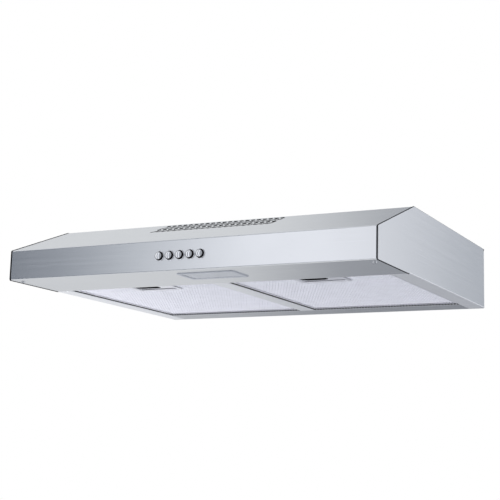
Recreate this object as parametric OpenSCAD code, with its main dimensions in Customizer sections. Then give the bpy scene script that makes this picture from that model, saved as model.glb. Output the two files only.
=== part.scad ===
// Under cabinet range hood: a folded steel canopy with a sloping front, two grease filters
// that swing down from the underside, a centrifugal blower, a lamp and five push buttons.
// Millimetres. The origin is the middle of the top face's rear edge, where the cabinet's
// underside meets the wall. +X points along the front, +Y into the wall and +Z up.

/* [Body] */
// Width over the side panels
body_w = 600; // [580:10:660]
// Depth from the wall to the front panel
body_d = 500; // [490:5:520]
// Height of the body
body_h = 100; // [98:1:110]
// Height of the upright front panel
front_h = 45.5; // [42:0.5:50]
// How far back the slope above the front panel runs
slope_d = 143; // [138:1:150]
// How far the back panel stands behind the side panels
back_step = 6; // [4:1:8]
// Outer radius of the folds
fold_r = 2.5; // [2:0.5:4]

/* [Vent slots] */
// Slots in one row
vent_columns = 21; // [11:2:25]
// Rows of slots
vent_rows = 4; // [3:1:4]
// Distance between slots in a row
vent_pitch = 9.8; // [9:0.1:10]

/* [Filters] */
// Depth of each filter opening
filter_len = 320; // [310:5:325]
// Distance from the front panel to the filter openings
filter_setback = 124; // [118:1:130]
// Width of each side panel's bottom lip
side_lip = 27; // [22:1:32]
// Width of the strip between the filters
divider_w = 26; // [20:1:32]
// Height of a filter
filter_h = 9; // [9:0.5:10]
// How far the filters sit above the underside
filter_recess = 2; // [1.5:0.5:2.5]

/* [Buttons] */
// Distance between buttons
button_pitch = 16.7; // [16:0.1:20]
// Radius of a button's cap
button_r = 5.85; // [5:0.05:6]
// Travel of a button
button_travel = 3; // [2:0.5:3]

/* [Lamp] */
// Size of the lamp's frame, along the front and back
lamp_size = [94, 54];
// Middle of the lamp, across from the hood's centre
lamp_x = 27.5; // [10:0.5:40]
// Middle of the lamp, behind the front panel
lamp_setback = 48.5; // [46:0.5:54]

/* [Blower] */
// Radius of the impeller
impeller_r = 70; // [66:1:72]
// Number of impeller blades
blade_count = 36; // [24:2:40]
// Radius of the round outlet in the top
outlet_r = 50; // [48:1:50]

/* [Hidden] */
$fn = 64;

steel = [0.76, 0.77, 0.78];
chrome = [0.88, 0.88, 0.9];
alloy = [0.84, 0.85, 0.86];
zinc = [0.66, 0.67, 0.68];
plastic_black = [0.12, 0.12, 0.13];
plastic_white = [0.92, 0.92, 0.9];
copper = [0.72, 0.42, 0.24];

sheet = 1;
seam = 1.5;
inner_x = body_w / 2 - sheet;
canopy_w = body_w - 2 * (sheet + seam);
front_y = -body_d;
side_back_y = -back_step;
ceiling_z = body_h - sheet;
slope_rise = body_h - front_h;
slope_angle = atan2(slope_rise, slope_d);
slope_len = norm([slope_d, slope_rise]);
front_foot = [front_y, 0];
front_head = [front_y, front_h];
slope_head = [front_y + slope_d, body_h];
top_back = [0, body_h];

// Vent slots
vent_end_gap = 5;
vent_depth = 62;
slot_l = 14;
slot_w = 6.2;
slot_lean = 35;

// Filter openings
lip_h = 4;
filter_w = (body_w - 2 * side_lip - divider_w) / 2;
filter_front_y = front_y + filter_setback;
filter_back_y = filter_front_y + filter_len;
filter_mid_x = (divider_w + filter_w) / 2;
filter_gap = 1;
frame_w = filter_w - 2 * filter_gap;
frame_l = filter_len - 2 * filter_gap;
frame_rim = 5;
frame_skin = 0.8;
face_skin = 0.6;
tongue_x = 80;

// Drain holes in a row along the filter's rear rim
drain_count = 31;
drain_pitch = 7.8;
drain_l = 4.6;
drain_w = 2.4;

// Latch, in a dish pressed into the filter near its front edge
dish_off = 13;
dish_w = 74;
dish_l = 40;
dish_start = 4;
dish_rim = 4;
latch_gap = 0.3;
latch_w = dish_w - 2 * dish_rim + 3;
latch_l = 28;
latch_start = 8;
latch_h = 1.4;
bolt_w = 12;
bolt_reach = 0.6;

// Buttons
button_count = 5;
button_z = front_h / 2;
bezel_bore = button_r + 0.35;
bezel_wall = 0.4;
button_hole_r = bezel_bore + bezel_wall + 0.05;
block_front_y = front_y + 15;
block_size = [92, 25, 13];
stem_r = 2.5;
stem_end_y = front_y + 26;
collar_front_y = front_y + 6.3;
collar_back_y = collar_front_y + 1.5;
button_wire_r = 0.4;

// Lamp
lamp_y = front_y + lamp_setback;
lamp_window = lamp_size - [14, 14];
lamp_collar = lamp_size - [8.4, 8.4];
lamp_cutout = lamp_size - [8, 8];
lamp_h = 14;

// Blower
blower_y = -116;
scroll_min = 78;
scroll_max = 102;
scroll_start = 250;
scroll_turn = 290;
scroll_floor = 34;
scroll_wall = 1.2;
inlet_r = 58;
outlet_end_y = -235;
plenum_w = 224;
plenum_wall = 1.5;
plenum_front_y = front_y + 105;
shaft_r = 4;
bearing_bore = shaft_r + 0.05;
bearing_r = 8;
motor_r = 36;
motor_z = 58;
motor_top = ceiling_z - 3;

// Outlet and its flaps
outlet_y = -294;
collar_wall = 1.5;
flap_seat_z = 73.5;
flap_axis_z = flap_seat_z + 1.05;
flap_pin_r = 1.5;
barrel_r = 2.6;

// Cabinet screw holes
cabinet_hole_r = 3;
cabinet_hole_x = 250;
cabinet_hole_y = [-80, -300];

// Small parts
side_screw_y = [-60, -190, -320];
side_screw_x = inner_x - 6;
foot_screw_x = 288;
foot_screw_y = front_y + 19;
screw_r = 1.9;
gland_pos = [230, -39];
gland_r = 6;

// Leads inside the body: junction box to lamp driver, driver to switches and lamp, capacitor to box
mains_route = [[230, -62, 88], [230, -366, 88], [230, -366, 15], [230, -464, 15], [220, -464, 15]];
switch_route = [[150, -472, 14], [120, -472, 14], [120, -472, 23], [46, -472, 23]];
lamp_route = [[150, -452, 10], [70.3, -452, 10]];
capacitor_route = [[150, -130, 84], [150, -50, 84], [198, -50, 84]];

// Drawing starts from the bottom of the wall side, and this lifts it to the origin
module hood() translate([0, 0, -body_h]) children();

// A profile drawn in Y and Z, extruded along X between two places
module along_x(from, to)
    translate([from, 0, 0]) rotate([90, 0, 90]) linear_extrude(to - from) children();

module box(low, high) translate(low) cube(high - low);

module rounded(size, r) {
    square(size - [2 * r, 0], center = true);
    square(size - [0, 2 * r], center = true);
    for (x = [-1, 1], y = [-1, 1])
        translate([x * (size.x / 2 - r), y * (size.y / 2 - r)]) circle(r);
}

module slot(length, width) {
    square([length - width, width], center = true);
    for (s = [-1, 1]) translate([s * (length - width) / 2, 0]) circle(width / 2);
}

module ring(outer, inner, low, high)
    translate([0, 0, low]) difference() {
        cylinder(r = outer, h = high - low);
        translate([0, 0, -1]) cylinder(r = inner, h = high - low + 2);
    }

function unit(v) = v / norm(v);

// Points of a fold of radius r at corner b, about the centre of a fold of radius outer
function fold(a, b, c, outer, r, steps = 6) =
    let (
        u = unit(a - b),
        v = unit(c - b),
        half = acos(u * v) / 2,
        centre = b + unit(u + v) * outer / sin(half),
        start = b + u * outer / tan(half) - centre,
        stop = b + v * outer / tan(half) - centre,
        from = atan2(start.y, start.x),
        sweep = atan2(stop.y, stop.x) - from,
        turn = sweep > 180 ? sweep - 360 : sweep < -180 ? sweep + 360 : sweep
    )
    [for (i = [0:steps]) centre + r * [cos(from + turn * i / steps), sin(from + turn * i / steps)]];

function reversed(list) = [for (i = [len(list) - 1:-1:0]) list[i]];

function last(list) = list[len(list) - 1];

// The canopy's three folds at an offset in from its outer face
function foot_fold(inset) = fold([filter_front_y, 0], front_foot, front_head, fold_r, fold_r - inset);
function brow_fold(inset) = fold(front_foot, front_head, slope_head, fold_r, fold_r - inset);
function crown_fold(inset) = fold(front_head, slope_head, top_back, fold_r, fold_r - inset);

// Moves children onto the slope: X across, Y up the slope from its foot, Z out of it
module on_slope()
    translate([0, front_y, front_h]) rotate([slope_angle, 0, 0]) children();

module vent_slots()
    on_slope()
        for (row = [0:vent_rows - 1], col = [0:vent_columns - 1])
            translate([
                (col - (vent_columns - 1) / 2) * vent_pitch,
                slope_len - vent_end_gap - vent_depth * (row + 0.5) / vent_rows,
                -3
            ])
                rotate([0, 0, 90 + (row % 2 == 0 ? slot_lean : -slot_lean)])
                    linear_extrude(6) slot(slot_l, slot_w);

module button_places()
    for (i = [0:button_count - 1])
        translate([(i - (button_count - 1) / 2) * button_pitch, 0, button_z]) children();

// A shape turned about Z, laid along +Y from its own origin
module turned_along_y(y) translate([0, y, 0]) rotate([-90, 0, 0]) children();

// A profile of the canopy, from one seam to the other
module across(points) along_x(-canopy_w / 2, canopy_w / 2) polygon(points);

// The canopy is four zones of one bent sheet: foot, front, slope and top
module foot_strip()
    color(steel) hood() difference() {
        across(concat(
            [[filter_front_y, lip_h], [filter_front_y, 0]],
            foot_fold(0),
            reversed(foot_fold(sheet)),
            [[filter_front_y - sheet, sheet], [filter_front_y - sheet, lip_h]]
        ));
        translate([lamp_x, lamp_y, -2]) linear_extrude(6) rounded(lamp_cutout, 4);
        foot_screw_places() translate([0, 0, -3]) cylinder(r = screw_r, h = 6);
    }

module front_panel()
    color(steel) hood() difference() {
        across([last(foot_fold(0)), brow_fold(0)[0], brow_fold(sheet)[0], last(foot_fold(sheet))]);
        button_places() turned_along_y(front_y - 2) cylinder(r = button_hole_r, h = 6);
    }

module slope_panel()
    color(steel) hood() difference() {
        across(concat(
            brow_fold(0), [crown_fold(0)[0], crown_fold(sheet)[0]], reversed(brow_fold(sheet))
        ));
        vent_slots();
    }

module top_sheet()
    color(steel) hood() difference() {
        across(concat(
            crown_fold(0), [top_back, top_back - [0, sheet]], reversed(crown_fold(sheet))
        ));
        translate([0, outlet_y, body_h - 4]) cylinder(r = outlet_r, h = 8);
        for (x = [-1, 1], y = cabinet_hole_y)
            translate([x * cabinet_hole_x, y, body_h - 4]) cylinder(r = cabinet_hole_r, h = 8);
        translate([gland_pos.x, gland_pos.y, body_h - 4]) cylinder(r = gland_r, h = 8);
        side_screw_places() translate([0, 0, -3]) cylinder(r = screw_r, h = 8);
    }

module side_screw_places()
    for (s = [-1, 1], y = side_screw_y) translate([s * side_screw_x, y, ceiling_z]) children();

module foot_screw_places()
    for (s = [-1, 1]) translate([s * foot_screw_x, foot_screw_y, 0]) children();

// The right-hand side panel, with its lip under the filters' side and its top flange
module side_panel() {
    flange_w = 12;
    difference() {
        union() {
            along_x(inner_x, body_w / 2)
                polygon(concat(
                    foot_fold(0), brow_fold(0), crown_fold(0),
                    [[side_back_y, body_h], [side_back_y, 0]]
                ));
            box([body_w / 2 - side_lip, filter_front_y, 0], [inner_x, side_back_y, sheet]);
            box(
                [body_w / 2 - side_lip, filter_front_y, 0],
                [body_w / 2 - side_lip + sheet, filter_back_y, lip_h]
            );
            box(
                [inner_x - flange_w, front_y + slope_d + 8, ceiling_z - sheet],
                [inner_x, side_back_y - 11, ceiling_z]
            );
        }
        side_screw_places() translate([0, 0, -3]) cylinder(r = screw_r, h = 8);
    }
}

module side_left() color(steel) hood() mirror([1, 0, 0]) side_panel();
module side_right() color(steel) hood() side_panel();

module back_panel() {
    half = inner_x - 0.2;
    return_l = 16;
    color(steel) hood() {
        box([-half, -sheet, 0], [half, 0, ceiling_z]);
        for (s = [-1, 1])
            scale([s, 1, 1]) box([half - sheet, -return_l, sheet], [half, 0, ceiling_z - sheet]);
        box([-half, side_back_y, 0], [half, 0, sheet]);
        box(
            [-body_w / 2 + side_lip, filter_back_y, 0],
            [body_w / 2 - side_lip, side_back_y, sheet]
        );
        box(
            [-body_w / 2 + side_lip, filter_back_y, 0],
            [body_w / 2 - side_lip, filter_back_y + sheet, lip_h]
        );
    }
}

module divider()
    color(steel) hood() {
        box([-divider_w / 2, filter_front_y, 0], [divider_w / 2, filter_back_y, sheet]);
        for (s = [-1, 1])
            translate([s * (divider_w / 2 - sheet / 2), 0, 0])
                box([-sheet / 2, filter_front_y, 0], [sheet / 2, filter_back_y, lip_h]);
    }

// Angle brackets that tie each side panel to the strip behind the front panel
module corner_brackets()
    color(zinc) hood() difference() {
        for (s = [-1, 1]) mirror([s < 0 ? 1 : 0, 0, 0]) {
            box([inner_x - 20, foot_screw_y - 10, sheet], [inner_x, foot_screw_y + 12, sheet + 1.5]);
            box([inner_x - 1.5, foot_screw_y - 10, sheet], [inner_x, foot_screw_y + 12, 16]);
        }
        foot_screw_places() cylinder(r = screw_r, h = 6);
    }

// Pan-head screw along +Z, with its head below z = 0
module screw(length) {
    head_r = 3.2;
    head_h = 1.6;
    translate([0, 0, -head_h]) difference() {
        union() {
            cylinder(r1 = head_r - 0.6, r2 = head_r, h = head_h);
            cylinder(r = screw_r, h = head_h + length);
        }
        for (a = [0, 90]) rotate([0, 0, a]) translate([-1.6, -0.4, -1]) cube([3.2, 0.8, 1.8]);
    }
}

module body_screws()
    color(zinc) hood() {
        foot_screw_places() screw(5);
        side_screw_places() translate([0, 0, -sheet]) screw(1.8);
        at_blower() motor_screw_places() screw(2.8);
    }

// Channel behind the front panel that holds the switch block
module switch_bracket() {
    half = 60;
    low = 5;
    high = 40;
    color(zinc) hood() difference() {
        union() {
            box([-half, block_front_y - sheet, low], [half, block_front_y, high]);
            for (z = [low, high - sheet])
                box([-half, front_y + sheet, z], [half, block_front_y, z + sheet]);
        }
        button_places() turned_along_y(block_front_y - 3) cylinder(r = stem_r + 0.6, h = 6);
    }
}

module switch_block() {
    bore_l = stem_end_y - block_front_y + button_travel + 1;
    color(plastic_black) hood() difference() {
        union() {
            translate([-block_size.x / 2, block_front_y, button_z - block_size.z / 2])
                cube(block_size);
            for (x = [-1:0.5:1])
                translate([x * 33.4, block_front_y + block_size.y, button_z])
                    translate([-0.4, -0.1, -5]) cube([0.8, 6.1, 10]);
        }
        button_places() turned_along_y(block_front_y - 1)
            cylinder(r = stem_r + 0.05, h = bore_l + 1);
    }
}

module bezel_rings()
    color(chrome) hood() button_places() turned_along_y(front_y) rotate_extrude()
        polygon([
            [bezel_bore, 6], [bezel_bore, -0.6], [bezel_bore + 0.4, -1.2], [bezel_bore + 1, -1.2],
            [bezel_bore + 1.5, -0.6], [bezel_bore + 1.5, 0], [bezel_bore + bezel_wall, 0],
            [bezel_bore + bezel_wall, 6]
        ]);

// Round wire rings side by side, which stand for a coil spring at its pressed length
module spring_rings(coil_r, wire_r, count, pitch)
    for (i = [0:count - 1])
        translate([0, 0, wire_r + i * pitch]) rotate_extrude()
            translate([coil_r, 0]) circle(wire_r, $fn = 24);

module button_springs() {
    pressed_l = block_front_y - sheet - collar_back_y - button_travel;
    count = 3;
    color(zinc) hood() button_places()
        turned_along_y(block_front_y - sheet - pressed_l)
            spring_rings(4.2, button_wire_r, count, (pressed_l - 2 * button_wire_r) / (count - 1));
}

// One push button: domed cap, collar behind the bezel and stem into the switch block
module button(i) {
    cap_y = front_y - 3.5;
    collar_r = 7.4;
    dome_h = 2;
    dome_r = (button_r * button_r + dome_h * dome_h) / (2 * dome_h);
    steps = 8;
    dome_angle = asin(button_r / dome_r);
    place_x = (i - 1 - (button_count - 1) / 2) * button_pitch;
    color(chrome) hood() translate([place_x, 0, button_z]) turned_along_y(cap_y)
        rotate_extrude()
            polygon(concat(
                [for (k = [0:steps])
                    let (a = dome_angle * k / steps)
                        [dome_r * sin(a), dome_r - dome_h - dome_r * cos(a)]],
                [
                    [button_r, collar_front_y - cap_y], [collar_r, collar_front_y - cap_y],
                    [collar_r, collar_back_y - cap_y], [stem_r, collar_back_y - cap_y],
                    [stem_r, stem_end_y - cap_y], [0, stem_end_y - cap_y]
                ]
            ));
}

module button_1() button(1);
module button_2() button(2);
module button_3() button(3);
module button_4() button(4);
module button_5() button(5);

module at_lamp(z) translate([lamp_x, lamp_y, z]) children();

module lamp_frame()
    color(zinc) hood() difference() {
        union() {
            at_lamp(-1.2) linear_extrude(1.2) rounded(lamp_size, 6);
            at_lamp(-1.2) linear_extrude(lamp_h + 1.2) rounded(lamp_collar, 3.8);
        }
        at_lamp(-3) linear_extrude(lamp_h + 6) rounded(lamp_window, 3);
    }

module lamp_lens()
    color([0.95, 0.95, 0.93]) hood()
        at_lamp(-0.5) linear_extrude(2.5) rounded(lamp_window - [0.2, 0.2], 2.9);

module lamp_board() {
    columns = 6;
    color(plastic_white) hood() {
        at_lamp(9) linear_extrude(1.6) square(lamp_window - [2, 2], center = true);
        for (i = [0:columns - 1], s = [-1, 1])
            at_lamp(8.2) translate([(i - (columns - 1) / 2) * 12.5 - 1.75, s * 9 - 1.4, 0])
                cube([3.5, 2.8, 1]);
    }
}

module lamp_lid()
    color(zinc) hood() at_lamp(lamp_h) linear_extrude(1.5) rounded(lamp_collar, 3.8);

module lamp_driver()
    color(plastic_white) hood() {
        box([150, front_y + 20, sheet], [220, front_y + 52, 22]);
        for (x = [140, 219]) box([x, front_y + 31, sheet], [x + 11, front_y + 41, sheet + 2]);
    }

// Moves children to a filter: X across from its middle, Y back from its front edge
module at_filter(s)
    translate([s * filter_mid_x, filter_front_y + filter_gap, filter_recess]) children();

module dish_window(low, high, grow)
    translate([dish_off, dish_start + dish_l / 2, low])
        linear_extrude(high - low) rounded([dish_w, dish_l] + [2 * grow, 2 * grow], 6);

module bolt_window()
    box(
        [dish_off - bolt_w / 2 - 0.4, -1, frame_skin + latch_gap + latch_h - latch_gap],
        [
            dish_off + bolt_w / 2 + 0.4, dish_start + 3,
            frame_skin + latch_gap + 2 * latch_h + latch_gap
        ]
    );

module filter_frame(s)
    color(alloy) hood() at_filter(s) difference() {
        union() {
            difference() {
                box([-frame_w / 2, 0, 0], [frame_w / 2, frame_l, filter_h]);
                box(
                    [-frame_w / 2 + frame_skin, frame_skin, frame_skin],
                    [frame_w / 2 - frame_skin, frame_l - frame_skin, filter_h - frame_skin]
                );
                box(
                    [-frame_w / 2 + frame_rim, frame_rim, -1],
                    [frame_w / 2 - frame_rim, frame_l - frame_rim, filter_h + 1]
                );
            }
            for (x = [-1, 1]) translate([x * tongue_x, 0, 0]) {
                box([-12, frame_l - 0.1, 1], [12, frame_l + 0.6, 4.4]);
                box([-12, frame_l - 0.1, 3.2], [12, frame_l + 9, 4.4]);
            }
        }
        bolt_window();
        dish_window(-1, filter_h - frame_skin - face_skin, 0.05);
        for (i = [0:drain_count - 1])
            translate([(i - (drain_count - 1) / 2) * drain_pitch, frame_l - 3, 0])
                box([-drain_l / 2, -drain_w / 2, -1], [drain_l / 2, drain_w / 2, frame_skin + 0.2]);
    }

// The sheets of expanded metal over and under the filter's core, as plain sheets
module filter_faces(s) {
    half = frame_w / 2 - frame_skin;
    color(alloy) hood() at_filter(s) difference() {
        union() {
            box([-half, frame_skin, frame_skin], [half, frame_l - frame_skin, frame_skin + face_skin]);
            box(
                [-half, frame_skin, filter_h - frame_skin - face_skin],
                [half, frame_l - frame_skin, filter_h - frame_skin]
            );
        }
        dish_window(-1, filter_h - frame_skin - face_skin, 0.05);
    }
}

module filter_core(s) {
    half = frame_w / 2 - frame_skin;
    low = frame_skin + face_skin;
    color([0.78, 0.79, 0.8]) hood() at_filter(s) difference() {
        box([-half, frame_skin, low], [half, frame_l - frame_skin, filter_h - low]);
        dish_window(-1, filter_h, 0.05);
        bolt_window();
    }
}

// Tray round the latch, open below, with a rim under the slider and ledges over its ends
module filter_dish(s) {
    top = filter_h - frame_skin - face_skin;
    wall = 0.8;
    ledge_z = frame_skin + latch_gap + latch_h + latch_gap;
    color(alloy) hood() at_filter(s) difference() {
        union() {
            difference() {
                dish_window(0, top, 0);
                dish_window(frame_skin, top - wall, -wall);
                dish_window(-1, frame_skin + 1, -dish_rim);
            }
            for (x = [-1, 1])
                translate([dish_off + x * (dish_w / 2 - 1.5), dish_start + dish_l / 2, ledge_z])
                    translate([-1.5, -12, 0]) cube([3, 24, 0.8]);
        }
        bolt_window();
    }
}

// Slider with a finger slot, a bolt that points at the front lip and a tab for its spring
module latch(s) {
    low = frame_skin + latch_gap;
    color(alloy) hood() at_filter(s) translate([dish_off, 0, 0]) difference() {
        union() {
            translate([0, latch_start + latch_l / 2, low])
                linear_extrude(latch_h) rounded([latch_w, latch_l], 2);
            box(
                [-bolt_w / 2, -bolt_reach, low + latch_h],
                [bolt_w / 2, latch_start + 2.5, low + 2 * latch_h]
            );
            box([15, 30, low + latch_h - 0.1], [25, 31, low + latch_h + 2.8]);
        }
        translate([-11, latch_start + 13, -1]) linear_extrude(filter_h) slot(42, 20);
    }
}

module latch_spring(s)
    color(zinc) hood() at_filter(s)
        translate([dish_off + 20, 37.4, frame_skin + latch_gap + latch_h + 1.9])
            rotate([-90, 0, 0]) spring_rings(1.4, 0.3, 5, 1.2);

module filter_left_frame() filter_frame(-1);
module filter_left_faces() filter_faces(-1);
module filter_left_core() filter_core(-1);
module filter_left_dish() filter_dish(-1);
module filter_right_frame() filter_frame(1);
module filter_right_faces() filter_faces(1);
module filter_right_core() filter_core(1);
module filter_right_dish() filter_dish(1);
module latch_left() latch(-1);
module latch_right() latch(1);
module latch_spring_left() latch_spring(-1);
module latch_spring_right() latch_spring(1);

module at_blower() translate([0, blower_y, 0]) children();

// The scroll's outline: a spiral that opens into a straight throat towards the front
function scroll_outline(inset, steps = 40) = concat(
    [for (i = [0:steps])
        let (
            a = scroll_start + scroll_turn * i / steps,
            r = scroll_min + (scroll_max - scroll_min) * i / steps - inset
        )
            [r * cos(a), r * sin(a)]],
    [
        [-scroll_max + inset, outlet_end_y - blower_y - (inset > 0 ? 5 : 0)],
        [scroll_min * cos(scroll_start) - inset, outlet_end_y - blower_y - (inset > 0 ? 5 : 0)]
    ]
);

module scroll_housing()
    color(zinc) hood() at_blower() difference() {
        translate([0, 0, scroll_floor])
            linear_extrude(ceiling_z - 1 - scroll_floor) polygon(scroll_outline(0));
        translate([0, 0, scroll_floor + scroll_wall])
            linear_extrude(body_h) polygon(scroll_outline(scroll_wall));
        translate([0, 0, scroll_floor - 1]) cylinder(r = inlet_r, h = 4);
    }

module motor_screw_places()
    for (a = [30, 150, 270]) rotate([0, 0, a]) translate([41.5, 0, motor_top]) children();

module scroll_cover()
    color(zinc) hood() at_blower() difference() {
        translate([0, 0, ceiling_z - 1]) linear_extrude(1) polygon(scroll_outline(0));
        motor_screw_places() cylinder(r = screw_r + 0.1, h = 5);
    }

module inlet_ring()
    color(plastic_black) hood() at_blower() rotate_extrude()
        polygon([
            [inlet_r - 0.1, scroll_floor], [66, scroll_floor], [66, scroll_floor - 1],
            [59, scroll_floor - 1], [57.4, scroll_floor - 0.4], [56.6, scroll_floor + 1],
            [56.2, scroll_floor + 3], [56.2, scroll_floor + 8], [inlet_r - 0.1, scroll_floor + 8]
        ]);

// Finger guard under the inlet: flat rings on three cross bars
module inlet_guard() {
    wire = 1.8;
    high = scroll_floor - 1;
    reach = 64;
    color(zinc) hood() at_blower() {
        for (r = [14, 28, 42, 56]) ring(r + wire / 2, r - wire / 2, high - wire, high);
        for (a = [0:60:120])
            rotate([0, 0, a]) translate([-reach, -wire / 2, high - wire]) cube([2 * reach, wire, wire]);
    }
}

// Forward-curved blades between a foot ring and a back disc with a cup that clears the motor
module impeller() {
    low = 44;
    disc_z = 92;
    cup_r = 40;
    cup_wall = 1.6;
    cup_floor = 54;
    hub_r = 10;
    color([0.3, 0.32, 0.34]) hood() at_blower() {
        rotate_extrude()
            polygon([
                [shaft_r, low], [hub_r, low], [hub_r, cup_floor], [cup_r + cup_wall, cup_floor],
                [cup_r + cup_wall, disc_z], [impeller_r, disc_z], [impeller_r, disc_z + 1.6],
                [cup_r, disc_z + 1.6], [cup_r, cup_floor + cup_wall], [shaft_r, cup_floor + cup_wall]
            ]);
        ring(impeller_r + 1, impeller_r - 4, low, low + 2);
        for (i = [0:blade_count - 1])
            rotate([0, 0, i * 360 / blade_count])
                translate([impeller_r - 0.2, 0, low + 1]) rotate([0, 0, 155])
                    cube([12.5, 0.9, disc_z - low]);
    }
}

module rotor_core()
    color([0.5, 0.5, 0.52]) hood() at_blower() ring(20, shaft_r, 66, 86);

module motor_shaft()
    color(chrome) hood() at_blower() translate([0, 0, 44]) cylinder(r = shaft_r, h = 50.5);

module motor_can()
    color(zinc) hood() at_blower() difference() {
        translate([0, 0, motor_z]) cylinder(r = motor_r, h = motor_top - motor_z);
        difference() {
            translate([0, 0, motor_z + 2]) cylinder(r = motor_r - 1.5, h = motor_top - motor_z);
            translate([0, 0, motor_z]) cylinder(r = bearing_r + 3, h = 6);
        }
        translate([0, 0, motor_z - 1]) cylinder(r = bearing_r, h = 10);
    }

module motor_cap()
    color(zinc) hood() at_blower() difference() {
        union() {
            translate([0, 0, motor_top]) cylinder(r = 46, h = ceiling_z - 1 - motor_top);
            translate([0, 0, motor_top - 6]) cylinder(r = bearing_r + 3, h = 7);
        }
        translate([0, 0, motor_top - 7]) cylinder(r = bearing_r, h = 7);
        motor_screw_places() translate([0, 0, -1]) cylinder(r = screw_r + 0.1, h = 5);
    }

module motor_bearings()
    color(chrome) hood() at_blower() {
        ring(bearing_r, bearing_bore, motor_z, motor_z + 5);
        ring(bearing_r, bearing_bore, motor_top - 6, motor_top - 1);
    }

module motor_stator()
    color([0.45, 0.46, 0.48]) hood() at_blower() difference() {
        ring(motor_r - 1.55, 20.5, 66, 86);
        for (i = [0:11])
            rotate([0, 0, i * 30]) translate([23, -2.2, 65]) cube([7, 4.4, 22]);
    }

module motor_windings()
    color(copper) hood() at_blower()
        for (z = [[64.2, 66], [86, 88.4]])
            ring(32, 22.5, z[0], z[1]);

module capacitor() {
    r = 15;
    color(plastic_white) hood() translate([150, -190, ceiling_z - 0.5 - r]) rotate([-90, 0, 0]) {
        cylinder(r = r, h = 60);
        translate([0, 0, -4]) cylinder(r = 6, h = 5);
    }
}

module capacitor_clip() {
    r = 15.05;
    z = ceiling_z - 0.5 - 15;
    color(zinc) hood() difference() {
        union() {
            translate([150, -166, z]) rotate([-90, 0, 0]) cylinder(r = r + 1, h = 12);
            box([150 - r - 12, -166, ceiling_z - 1.5], [150 + r + 12, -154, ceiling_z]);
        }
        translate([150, -170, z]) rotate([-90, 0, 0]) cylinder(r = r, h = 20);
        box([100, -170, ceiling_z], [200, -150, ceiling_z + 5]);
    }
}

// Point on the slope's inner face, at a distance up from its foot
function under_slope(s) =
    front_head + s * [cos(slope_angle), sin(slope_angle)] + sheet * [sin(slope_angle), -cos(slope_angle)];

// Duct from the blower to the vent slots and the round outlet, closed above by the canopy
module outlet_plenum() {
    half = plenum_w / 2;
    throat_low = scroll_floor + scroll_wall;
    outer = concat(
        [[outlet_end_y, scroll_floor], [plenum_front_y, scroll_floor], under_slope(78)],
        [under_slope(slope_len - 4), [front_y + slope_d + 4, ceiling_z], [outlet_end_y, ceiling_z]]
    );
    inner = [
        [outlet_end_y - plenum_wall, scroll_floor + plenum_wall],
        [plenum_front_y + 1, scroll_floor + plenum_wall],
        under_slope(78) + [plenum_wall, 0],
        [front_y + slope_d - 40, body_h + 20],
        [outlet_end_y - plenum_wall, body_h + 20]
    ];
    color(plastic_black) hood() difference() {
        along_x(-half, half) polygon(outer);
        along_x(-half + plenum_wall, half - plenum_wall) polygon(inner);
        box(
            [-scroll_max + scroll_wall, outlet_end_y - 5, throat_low],
            [scroll_min * cos(scroll_start) - scroll_wall, outlet_end_y + 5, ceiling_z - 1]
        );
    }
}

module at_outlet() translate([0, outlet_y, 0]) children();

module flap_axis(r, half)
    translate([0, -half, flap_axis_z]) rotate([-90, 0, 0]) cylinder(r = r, h = 2 * half);

module outlet_collar() {
    skirt_top = ceiling_z - 19;
    skirt_r = outlet_r + 1;
    color(zinc) hood() at_outlet() difference() {
        rotate_extrude()
            polygon([
                [outlet_r - 4, flap_seat_z - 1.5], [skirt_r + collar_wall, flap_seat_z - 1.5],
                [skirt_r + collar_wall, ceiling_z - 1.5], [outlet_r + 7, ceiling_z - 1.5],
                [outlet_r + 7, ceiling_z], [outlet_r, ceiling_z], [outlet_r, skirt_top],
                [skirt_r, skirt_top], [skirt_r, flap_seat_z], [outlet_r - 4, flap_seat_z]
            ]);
        flap_axis(flap_pin_r, outlet_r + 10);
    }
}

module damper_pin()
    color(chrome) hood() at_outlet() flap_axis(flap_pin_r, outlet_r + 1 + collar_wall);

// A half-round flap with barrels on the pin, drawn for the -X half
module damper(barrels) {
    bore_r = flap_pin_r + 0.06;
    difference() {
        union() {
            intersection() {
                translate([0, 0, flap_axis_z - 0.75]) cylinder(r = outlet_r - 1, h = 1.5);
                box([-outlet_r, -outlet_r, 0], [-barrel_r - 0.6, outlet_r, body_h]);
            }
            for (b = barrels) {
                translate([0, b[0], flap_axis_z]) rotate([-90, 0, 0])
                    cylinder(r = barrel_r, h = b[1] - b[0]);
                box([-barrel_r - 1, b[0], flap_axis_z - 0.75], [-flap_pin_r, b[1], flap_axis_z + 0.75]);
            }
        }
        flap_axis(bore_r, outlet_r + 5);
    }
}

module damper_left() color(zinc) hood() at_outlet() damper([[-41, -22], [1, 20]]);
module damper_right()
    color(zinc) hood() at_outlet() mirror([1, 0, 0]) damper([[-20, -1], [22, 41]]);

module junction_box() {
    low = [195, -72, 66];
    high = [265, -18, ceiling_z];
    wall = 2;
    color(plastic_black) hood() difference() {
        box(low, high);
        box(low + [wall, wall, -1], high - [wall, wall, wall]);
        translate([gland_pos.x, gland_pos.y, body_h - 5]) cylinder(r = gland_r, h = 8);
        translate([230, low.y - 1, 88]) rotate([-90, 0, 0]) cylinder(r = 3, h = 5);
        translate([low.x - 1, -50, 84]) rotate([0, 90, 0]) cylinder(r = 3, h = 5);
    }
}

module junction_lid()
    color(plastic_black) hood() box([195, -72, 64], [265, -18, 66]);

module terminal_block()
    color(plastic_white) hood() difference() {
        box([205, -66, 66], [255, -52, 78]);
        for (i = [0:4]) translate([210 + i * 10, -59, 72]) cylinder(r = 2, h = 7);
    }

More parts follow.
